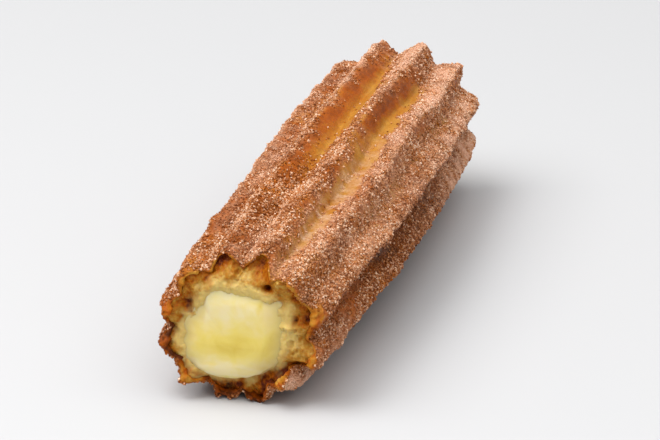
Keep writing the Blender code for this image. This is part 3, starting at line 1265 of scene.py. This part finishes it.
        # Browning by ridge, near the crust and in stains; the dents' hollows and the air holes are also
        # painted darker, as shade.
        toast_and_shade = form.eased(turns, self.shade) + stain_and_shade
        toast_and_shade = toast_and_shade + 0.38 * bell(from_skin, 2.0) + 0.06 * np.clip(hollow, 0, 4) + 0.3 * pits
        toast_and_shade = toast_and_shade + summed(self.browning, flat, self.seed)
        # Custard wets the crumb by its lip, in smears, but not where the dents stain it or paint shade on it.
        wet = 0.85 * ease_between(2.4, -0.4, from_lip + self.smears.at(flat, self.seed))
        wet = wet * np.clip(1 - 2.0 * stain_and_shade, 0, 1)
        hidden = np.ones((len(back), columns))
        give_attribute(self.piece, "toast_and_shade", np.clip(np.concatenate([toast_and_shade, 0.5 * hidden]), 0, 1))
        give_attribute(self.piece, "wet", np.clip(np.concatenate([wet, 0 * hidden]), 0, 1))
        return self.piece

    def dress(self, material: bpy.types.Material) -> None:
        """Gives the crumb its material and its place in the frame."""
        self.piece.data.materials.append(material)
        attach(self.piece, "root")
        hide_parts("dough")


@dataclass
class CustardCore:
    """The custard: a round core through the whole churro, with a soft dome at each cut.

    A dome rises by 1 less the share of its radius to the power of its fullness, all to the power of its
    softness: a full one has a flat top, and a hard one a steep edge. The front's tuples go round from +X
    towards +Z, twelve to a turn: how far inside the cut its edge lies, the softness, the fullness, how many
    millimetres of the edge the crumb soaks up, which are browned partly as painted shade, and how gently the
    edge runs out in a feather over the crumb.
    Where it has no feather, the edge tucks in under the crumb.
    """

    form: ChurroForm
    around: int = 280
    front_rings: int = 130
    body_rows: int = 40
    back_rings: int = 60
    front_edge: tuple[float, ...] = (1.1, 1.5, 2.1, 2.1, 1.6, 1.3, 1.2, 1.1, 2.2, 2.4, 2.2, 1.2)
    front_softness: tuple[float, ...] = (0.9, 1.0, 1.0, 1.0, 1.0, 0.9, 0.8, 0.6, 0.4, 0.4, 0.4, 0.7)
    front_fullness: tuple[float, ...] = (3.6, 2.6, 2.4, 2.4, 2.6, 3.0, 4.0, 6.5, 9.0, 10.0, 9.0, 6.0)
    front_soak_and_shade: tuple[float, ...] = (3.8, 3.8, 2.4, 1.2, 1.6, 4.2, 4.8, 2.8, 0.6, 0.3, 0.8, 2.8)
    front_feather: tuple[float, ...] = (1.0, 1.0, 1.0, 1.0, 1.0, 1.0, 1.0, 0.6, 0.0, 0.0, 0.2, 0.8)
    feather_start: float = 0.6
    tuck: float = 0.6
    back_edge: float = 3.0
    back_rise: float = 2.6
    fullness: float = 6.0
    piece: bpy.types.Object | None = None

    def dome(self, end: End, rings: int) -> tuple[np.ndarray, np.ndarray, np.ndarray, np.ndarray]:
        """The swelling at one cut, from its middle outwards.

        Args:
            end: Which cut end.
            rings: Number of rings.

        Returns:
            The share of the core's radius, how far inside the cut each point is, how deep its yellow is, with
            painted shade and painted highlight, and how brown its edge is where the crumb soaks it up, which
            also paints shade there.
        """
        angle = angles_round(self.around)
        share = np.sin(np.linspace(0, 0.5 * math.pi, rings + 1)[1:])[:, None]
        x = self.form.core_radius * share * np.cos(angle)
        z = self.form.core_radius * share * np.sin(angle)
        flat = joined(x, z)
        full = np.sqrt(np.clip(1 - share**self.fullness, 0, None))
        if end is End.FRONT:
            clock = angle * RIDGES / (2 * math.pi)
            edge = self.form.eased(clock, self.front_edge)
            full = np.clip(1 - share ** self.form.eased(clock, self.front_fullness), 0, None)
            full = full ** self.form.eased(clock, self.front_softness)
            feathered = 1 - ease_between(self.feather_start, 1.0, share)
            feather = self.form.eased(clock, self.front_feather)
            full = full + (feathered - full) * feather
            # The face leans back above, has a lip below, a band with hollows, and one short crease.
            lean = 0.15 * np.clip(z + 1.5, 0, None) ** 1.15
            lip = bell(z + 7.0, 2.0)
            band = bell(z + 1.0, 3.0) * bell(x - 1.2, 5.5)
            hollow = bell(z + 2.2, 1.4) * bell(x - 0.6, 3.2) + 0.8 * bell(x - 8.0, 1.2) * bell(z - 0.8, 3.6)
            crease = bell(x - 4.2 - 0.2 * z, 0.4) * bell(z - 5.4, 1.6)
            face = -0.8 + lean - 0.30 * lip + 0.05 * band + 0.02 * hollow + 0.15 * crease
            face = face + 0.5 * ease_between(-2.0, -8.0, x)
            tucked = self.tuck * (1 - feather) * ease_between(0.94, 1.0, share)
            depth = edge * (1 - full) + face * full + tucked
            # Streaks run down the upper part, and fine drawn lines run across the lower part.
            streaks = soft_noise(flat * np.array([1.0, 0.25]), 1.5, 67) * ease_between(-1.0, 4.0, z)
            drawn = soft_noise(flat * np.array([0.22, 1.0]), 0.8, 69)
            drawn = drawn * (0.3 + 0.7 * ease_between(-3.0, -6.0, z))
            fold = layered_noise(flat, 5.0, 61, 3)
            depth = depth + full * (0.05 * fold + 0.02 * streaks + 0.05 * drawn)
            # Colour: the band, the hollows and the crease are painted a deeper yellow as shade, and the lip
            # and the top paler as highlight; the folds, streaks and drawn lines vary the custard's own tone.
            rich_and_shade = 0.34 + 0.24 * band + 0.30 * hollow - 0.26 * lip + 0.4 * crease
            rich_and_shade = rich_and_shade - 0.22 * ease_between(0, 5, z) + 0.08 * fold + 0.08 * streaks + 0.18 * drawn
            # The edge is browned where the crumb soaks it up, and this browning also paints shade at the
            # edge, widest on the left and right.
            from_edge = self.form.core_radius * (1 - share) + 0.9 * layered_noise(flat, 2.4, 77, 3)
            soaked_and_shaded = 0.8 * np.clip(1 - from_edge / self.form.eased(clock, self.front_soak_and_shade), 0, 1)
        else:
            depth = self.back_edge - self.back_rise * full
            depth = depth + full * (0.45 * soft_noise(flat, 5.0, 71) + 0.15 * soft_noise(flat, 2.0, 73))
            rich_and_shade = 0.4 + 0.2 * soft_noise(flat, 5.0, 75)
            soaked_and_shaded = 0.7 * ease_between(0.85, 1.0, share + 0.08 * soft_noise(flat, 2.4, 79))
        return share, depth, rich_and_shade, soaked_and_shaded

    def build(self) -> bpy.types.Object:
        """Makes the core: rings from the front dome's middle, along the bore, to the back dome's middle.

        Returns:
            The custard.
        """
        form = self.form
        front_share, front_depth, front_rich_and_shade, front_soaked_and_shaded = self.dome(End.FRONT, self.front_rings)
        back_share, back_depth, back_rich, back_soaked = self.dome(End.BACK, self.back_rings)
        body = (0.5 - 0.47 * np.cos(np.linspace(0, math.pi, self.body_rows)))[:, None]
        angle = angles_round(self.around)
        even = np.ones((self.body_rows, self.around))
        along = np.concatenate([front_depth / form.length, body * even, 1 - back_depth[::-1] / form.length])
        share = np.concatenate([front_share, np.ones_like(body), back_share[::-1]])
        rich_and_shade = np.concatenate([front_rich_and_shade, 0.4 * even, back_rich[::-1]])
        soaked_and_shaded = np.concatenate([front_soaked_and_shaded, 0.5 * even, back_soaked[::-1]])
        side, up = form.axis_place(np.clip(along, 0, 1))
        radius = form.core_outline(angle, np.clip(along, 0, 1) * form.length) * share
        x = side + form.core_side + radius * np.cos(angle) + form.shift[0]
        z = up - form.core_drop + radius * np.sin(angle)
        y = form.length * (along - 0.5) + form.shift[1]
        points = joined(x, y, z)
        rows, columns = points.shape[:2]
        poles = np.stack([points[0].mean(axis=0), points[-1].mean(axis=0)])
        ring = np.arange(columns)
        after = (ring + 1) % columns
        front_pole, back_pole = rows * columns, rows * columns + 1
        last = (rows - 1) * columns
        fans = [
            joined(front_pole, ring, after),
            joined(back_pole, last + after, last + ring),
        ]
        self.piece = mesh_from_arrays(
            "custard_core",
            np.concatenate([points.reshape(-1, 3), poles]),
            [ring_faces(rows, columns, closed=False), *fans],
            True,
        )
        for kind, amounts in (("rich_and_shade", rich_and_shade), ("soaked_and_shaded", soaked_and_shaded)):
            amounts = np.concatenate([amounts.ravel(), [amounts[0].mean(), amounts[-1].mean()]])
            give_attribute(self.piece, kind, np.clip(amounts, 0, 1))
        return self.piece

    def dress(self, material: bpy.types.Material) -> None:
        """Gives the custard its material and its place in the frame."""
        self.piece.data.materials.append(material)
        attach(self.piece, "root")
        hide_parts("custard")


class Crystal(Enum):
    """A crystal's form: the fewest faces that still glint."""

    EIGHT_SIDED = "eight_sided"
    FOUR_SIDED = "four_sided"

    def form(self) -> tuple[np.ndarray, np.ndarray]:
        """The crystal's corners, for a size of about one, and its outward faces.

        Returns:
            The corners and the faces. Eight sides: a point up, a point down and four round the middle.
            Four sides: every other corner of a cube.
        """
        if self is Crystal.EIGHT_SIDED:
            corners = 0.62 * np.array([[1, 0, 0], [0, 1, 0], [-1, 0, 0], [0, -1, 0], [0, 0, 1], [0, 0, -1]])
            upper = [[side, (side + 1) % 4, 4] for side in range(4)]
            return corners, np.array(upper + [[second, first, 5] for first, second, _ in upper])
        corners = 0.48 * np.array([[1, 1, 1], [-1, -1, 1], [-1, 1, -1], [1, -1, -1]])
        return corners, np.array([[0, 2, 1], [0, 1, 3], [0, 3, 2], [1, 2, 3]])


@dataclass(frozen=True)
class GrainKind:
    """One kind of grain that the churro is rolled in.

    Its smallest and largest sizes are in millimetres. Flatness is its height as a share of its width, and
    sunk is the share of its size that is pressed into the crust. Clumping, from 0 to 1, says how much the
    grains keep together. A liking says how many more of them lie on crests, on places that face up, or where
    fine sugar lies thick, and a negative one says how many fewer.
    """

    finish: SugarFinish
    crystal: Crystal
    count: int
    smallest: float
    largest: float
    flatness: float
    sunk: float
    clumping: float
    crest_liking: float
    upward_liking: float
    frost_liking: float
    seed: int


@dataclass
class SugarCoat:
    """The cinnamon sugar: one piece for each kind of grain, strewn over the crust's outside."""

    crust: Crust
    kinds: tuple[GrainKind, ...]
    clear_of_floor: float = 0.5
    lean: float = 1.2

    def strew(self, kind: GrainKind) -> bpy.types.Object:
        """Makes one piece of many small crystals, each turned at random and partly sunk in the crust.

        A cell of the crust's outside is chosen for each by weight: its area, how dusted it is and the kind's
        likings. The grain then lies at a random place in the cell.

        Args:
            kind: Size, number and spread of the grains.

        Returns:
            The piece.
        """
        rng = np.random.default_rng(kind.seed)
        # Each cell's area and outward direction, from its two diagonals. High cells face up.
        outside, toast_and_shade, cover, frost, wave = self.crust.outside()
        around = np.roll(outside, -1, axis=1)
        corners = (outside[:-1], outside[1:], around[1:], around[:-1])
        across = np.cross(corners[2] - corners[0], corners[3] - corners[1])
        area = np.linalg.norm(across, axis=-1)
        normal = across / np.maximum(area, 1e-9)[..., None]
        high = corners[0][..., 2] - corners[0][..., 2].mean()
        normal = -normal if (normal[..., 2] * high).sum() < 0 else normal
        middle = sum(corners) / 4
        # The cells' weights.
        clump = ease_between(-0.5, 0.6, layered_noise(middle, 2.8, kind.seed, 2))
        weight = area * cover[:-1] ** 1.8 * (1 - kind.clumping + kind.clumping * clump)
        weight = weight * (1 + kind.crest_liking * wave[:-1]) * (1 + kind.frost_liking * frost[:-1])
        upward = ease_between(-0.5, 0.6, normal[..., 2])
        weight = weight * (1 - kind.upward_liking + kind.upward_liking * upward)
        weight = np.where(middle[..., 2] > self.clear_of_floor, weight, 0.0).ravel()
        chosen = rng.choice(weight.size, size=kind.count, p=weight / weight.sum())
        # A random place in each grain's cell, blended between the cell's corners.
        down, right = rng.random((2, kind.count, 1))
        flat = [corner.reshape(-1, 3)[chosen] for corner in corners]
        near_edge = flat[0] * (1 - down) + flat[1] * down
        far_edge = flat[3] * (1 - down) + flat[2] * down
        place = near_edge * (1 - right) + far_edge * right
        outward = normal.reshape(-1, 3)[chosen]
        frosted, toasted_and_shaded = frost[:-1].ravel()[chosen], toast_and_shade[:-1].ravel()[chosen]
        # Sizes and shapes: more small grains than large ones, and each one uneven.
        size = kind.smallest + (kind.largest - kind.smallest) * rng.random((kind.count, 1)) ** 1.5
        size = size * (1 - 0.25 * frosted[:, None])
        shape = size * (0.75 + 0.5 * rng.random((kind.count, 3)))
        shape[:, 2] *= kind.flatness
        centre = place + outward * (0.5 * shape[:, 2:] - kind.sunk * size)
        tips, sides = kind.crystal.form()
        uneven = 0.16 * size[:, None] * (rng.random((kind.count, len(tips), 3)) - 0.5)
        local = tips[None] * shape[:, None, :] + uneven
        turned = np.einsum("nij,nkj->nki", self.turning(rng, outward), local)
        points = centre[:, None, :] + turned
        points[..., 2] = np.maximum(points[..., 2], 0.05)
        faces = (np.arange(kind.count)[:, None, None] * len(tips) + sides[None]).reshape(-1, 3)
        made = mesh_from_arrays(kind.finish.name, points.reshape(-1, 3), [faces], smooth=False)
        # Tones: random and patchy, pale where fine sugar lies, and dark where the crust is browned or has
        # painted shade.
        patchy = ease_between(-0.6, 0.6, layered_noise(place, 4.0, 91, 2))
        tone = (0.1 + 0.52 * rng.random(kind.count) + 0.36 * patchy) * (1 - 0.5 * frosted) + 0.6 * frosted
        tone = tone - 0.8 * np.clip(toasted_and_shaded - 0.4, -0.25, 0.45)
        give_attribute(made, "tone", np.repeat(np.clip(tone, 0, 1), len(tips)))
        give_attribute(made, "frost", np.repeat(frosted, len(tips)))
        return made

    def turning(self, rng: np.random.Generator, outward: np.ndarray) -> np.ndarray:
        """A random turn for each grain, whose own up leans widely about the crust's outward direction.

        Args:
            rng: The kind's random numbers.
            outward: The crust's outward direction under each grain.

        Returns:
            A 3 by 3 turning matrix for each grain, with its own axes as columns.
        """
        up = outward + self.lean * rng.normal(size=outward.shape)
        up /= np.linalg.norm(up, axis=1)[:, None]
        side = np.cross(up, rng.normal(size=outward.shape))
        side /= np.linalg.norm(side, axis=1)[:, None]
        return np.stack([side, np.cross(up, side), up], axis=-1)

    def build(self) -> list[bpy.types.Object]:
        """Makes every kind's piece and gives it its material and its place in the frame.

        Returns:
            The pieces.
        """
        made = []
        for kind in self.kinds:
            piece = self.strew(kind)
            piece.data.materials.append(kind.finish.build())
            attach(piece, "root")
            made.append(piece)
        return made


# ---------------------------------------------------------------------------
# The studio
# ---------------------------------------------------------------------------


@dataclass(frozen=True)
class SoftLight:
    """A square soft light that looks at the churro.

    Its direction is given as seen by the camera: to the right, away from the camera and up. Its distance and
    the length of its side are in metres, and its power is in watts.
    """

    name: str
    right: float
    away: float
    up: float
    distance: float
    side: float
    power: float


@dataclass
class Studio:
    """A pale floor, three soft lights, a weak white sky and the camera.

    The key light is high on the left, the top light hangs overhead, and the fill is low and near the camera.
    Sizes are in metres, apart from the sensor's, and angles in degrees. The focal length counts in widths of
    the frame, before the zoom.
    """

    floor_half: float = 3.0
    azimuth: float = 13.45
    elevation: float = 18.95
    distance: float = 1.287
    aim: tuple[float, float, float] = (-0.0005, 0.0, 0.0150)
    zoom: float = 1.5
    focal: float = 4000 / 660
    sensor_mm: float = 36.0
    lights: tuple[SoftLight, ...] = (
        SoftLight("key", right=-0.5, away=-0.12, up=0.9, distance=1.1, side=0.9, power=12.5),
        SoftLight("top", right=0.1, away=-0.15, up=1.0, distance=1.2, side=1.8, power=13.4),
        SoftLight("fill", right=0.2, away=-0.85, up=0.35, distance=1.1, side=0.8, power=2.7),
    )
    sky: float = 0.35

    def axes(self) -> tuple[np.ndarray, np.ndarray]:
        """The camera's backward and rightward directions."""
        turn, rise = math.radians(self.azimuth), math.radians(self.elevation)
        back = np.array([math.sin(turn) * math.cos(rise), -math.cos(turn) * math.cos(rise), math.sin(rise)])
        return back, np.array([math.cos(turn), math.sin(turn), 0.0])

    def add_floor(self, material: bpy.types.Material) -> None:
        """Makes the floor: one flat square."""
        half = self.floor_half / MM
        corners = np.array([[-half, -half, 0], [half, -half, 0], [half, half, 0], [-half, half, 0]])
        floor = mesh_from_arrays("floor", corners, [np.array([[0, 1, 2, 3]])], smooth=False)
        floor.data.materials.append(material)

    def add_light(self, wanted: SoftLight) -> None:
        """Adds one light.

        Args:
            wanted: Where it is, and its size and power.
        """
        back, right = self.axes()
        away = -np.array([back[0], back[1], 0.0])
        toward = wanted.right * right + wanted.away * away + wanted.up * np.array([0.0, 0.0, 1.0])
        toward = toward / np.linalg.norm(toward)
        light = bpy.data.lights.new(wanted.name, "AREA")
        light.size = wanted.side
        light.energy = wanted.power
        lamp = bpy.data.objects.new(wanted.name, light)
        lamp.location = tuple(toward * wanted.distance + np.array(self.aim))
        lamp.rotation_euler = look_along(-toward)
        bpy.context.collection.objects.link(lamp)

    def add_camera(self) -> None:
        """Places the camera at its viewing angle and makes it the scene's camera."""
        back = self.axes()[0]
        camera = bpy.data.cameras.new("camera")
        camera.sensor_width = self.sensor_mm
        camera.lens = self.sensor_mm * self.focal * self.zoom
        camera.clip_end = 20.0
        holder = bpy.data.objects.new("camera", camera)
        holder.location = tuple(np.array(self.aim) + back * self.distance)
        holder.rotation_euler = look_along(-back)
        bpy.context.collection.objects.link(holder)
        bpy.context.scene.camera = holder

    def build(self) -> None:
        """Builds the floor, the lights, the sky and the camera."""
        self.add_floor(PaleFloor().build())
        for wanted in self.lights:
            self.add_light(wanted)
        world = bpy.data.worlds.new("sky")
        world.use_nodes = True
        background = world.node_tree.nodes["Background"]
        background.inputs["Color"].default_value = (1.0, 1.0, 1.0, 1.0)
        background.inputs["Strength"].default_value = self.sky
        bpy.context.scene.world = world
        bpy.context.scene.view_settings.view_transform = "Standard"
        self.add_camera()


def look_along(direction: np.ndarray) -> tuple[float, float, float]:
    """Turns for an object whose -Z axis is to point along a direction, with its +X level."""
    flat = math.hypot(direction[0], direction[1])
    return (math.atan2(flat, -direction[2]), 0.0, math.atan2(-direction[0], direction[1]))


# Hollows, bulges and stains of the two cut faces. A hollow's browning is partly stain and partly painted
# shade:
# the air holes are painted dark, and the crumb under the crust's two top arches amber, as shade and as light
# shining through the thin crust. A negative browning makes the crumb paler.
FRONT_DENTS = (
    Dent(-4.4, 14.6, 2.4, 2.4, 0.2, 0.34),
    Dent(3.8, 14.8, 2.0, 2.8, 0.2, 0.16),
    Dent(5.7, 9.7, 0.95, 0.75, 2.6, 0.9),
    Dent(-10.5, 5.8, 1.1, 2.4, 1.1, 0.22),
    Dent(-11.9, 2.2, 1.0, 1.8, 1.0, 0.18),
    Dent(-14.2, 5.6, 1.2, 2.2, -0.3, -0.25),
    Dent(-14.8, 3.2, 3.2, 4.8, 0.0, -0.52),
    Dent(11.7, 3.1, 0.5, 0.8, 1.1, 0.4),
    Dent(8.2, 6.6, 1.3, 0.9, 0.8, 0.35),
    Dent(10.4, 2.0, 2.4, 0.5, -0.8, -0.1),
    Dent(14.2, 4.4, 2.2, 1.6, 0.4, 0.3),
    Dent(13.0, -6.0, 1.8, 1.0, 1.2, 0.5),
    Dent(-14.6, -3.2, 1.0, 1.2, 0.6, 0.3),
)
BACK_DENTS = (
    Dent(8.0, 7.0, 2.2, 1.6, 2.2, 0.3),
    Dent(-7.0, 11.0, 2.0, 2.2, 2.8, 0.4),
    Dent(-12.5, -4.0, 1.6, 2.2, 1.8, 0.3),
    Dent(7.0, -11.0, 2.4, 1.8, 2.4, 0.4),
)

GRAINS = (
    GrainKind(
        SugarFinish("sugar_clear", "ecc9a8", "b27346", roughness=0.2, gloss=0.4), Crystal.EIGHT_SIDED,
        count=15000, smallest=0.34, largest=0.58, flatness=1.0, sunk=0.15, clumping=0.6,
        crest_liking=0.2, upward_liking=0.58, frost_liking=-0.3, seed=101,
    ),
    GrainKind(
        SugarFinish("sugar_rosy", "ce8e60", "905022", roughness=0.25, gloss=0.15), Crystal.EIGHT_SIDED,
        count=24500, smallest=0.32, largest=0.54, flatness=1.0, sunk=0.2, clumping=0.4,
        crest_liking=0.1, upward_liking=0.5, frost_liking=0.4, seed=102,
    ),
    GrainKind(
        SugarFinish("sugar_amber", "ba6a1e", "7c3a08", roughness=0.25, gloss=0.12), Crystal.EIGHT_SIDED,
        count=24500, smallest=0.32, largest=0.52, flatness=1.0, sunk=0.2, clumping=0.3,
        crest_liking=-0.1, upward_liking=0.0, frost_liking=-0.8, seed=103,
    ),
    GrainKind(
        SugarFinish("sugar_fine", "d0925e", "864616", roughness=0.3, gloss=0.15), Crystal.FOUR_SIDED,
        count=49000, smallest=0.24, largest=0.42, flatness=1.0, sunk=0.1, clumping=0.3,
        crest_liking=0.1, upward_liking=0.6, frost_liking=2.0, seed=104,
    ),
    # Real cinnamon dust is finer than this. It is drawn as coarse as it needs to be to show.
    GrainKind(
        SugarFinish("cinnamon_dust", "985420", "642e0c", roughness=0.8, gloss=0.08), Crystal.FOUR_SIDED,
        count=49000, smallest=0.22, largest=0.40, flatness=0.8, sunk=0.05, clumping=0.4,
        crest_liking=-0.3, upward_liking=0.2, frost_liking=-0.93, seed=105,
    ),
)


def main() -> None:
    """Loads the frame, builds every piece in order and reports each of them."""
    logging.basicConfig(level=logging.INFO, format="%(name)s: %(message)s")
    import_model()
    form = ChurroForm()
    low, high = (np.array(corner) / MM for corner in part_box("dough"))
    form.fit_to(low, high)
    log.info("form moved by %.3f and %.3f mm", *form.shift)
    crust = Crust(form)
    crust.build()
    crust.dress(FriedCrust().build())
    crumb_material = MoistCrumb().build()
    front = CrumbEnd(
        form,
        crust,
        End.FRONT,
        lip_depth=(0.5, 0.8, 1.3, 1.4, 1.0, 0.7, 0.5, 0.6, 2.7, 3.2, 2.2, 0.7),
        recess=(0.5, 0.7, 0.3, 0.2, 0.4, 0.2, 0.1, 0.1, 1.6, 1.8, 1.2, 0.8),
        shade=(0.22, 0.22, 0.30, 0.36, 0.42, 0.50, 0.46, 0.34, 0.66, 0.78, 0.60, 0.26),
        dents=FRONT_DENTS,
    )
    back = CrumbEnd(
        form,
        crust,
        End.BACK,
        lip_depth=(2.0,) * RIDGES,
        recess=(1.2, 1.8, 0.9, 1.4, 2.2, 1.0, 1.5, 1.2, 2.0, 1.2, 1.6, 1.0),
        shade=(0.3, 0.35, 0.3, 0.25, 0.4, 0.3, 0.35, 0.4, 0.6, 0.6, 0.4, 0.3),
        dents=BACK_DENTS,
        around=420,
        face_rows=80,
        seed=81,
    )
    for crumb in (front, back):
        crumb.build()
        crumb.dress(crumb_material)
    custard = CustardCore(form)
    custard.build()
    custard.dress(CustardCream().build())
    sugar = SugarCoat(crust, GRAINS).build()
    for piece in (*crust.pieces, front.piece, back.piece, custard.piece, *sugar):
        triangles = sum(len(polygon.vertices) - 2 for polygon in piece.data.polygons)
        log.info("%s has %d triangles", piece.name, triangles)
    Studio().build()


if __name__ == "__main__":
    main()
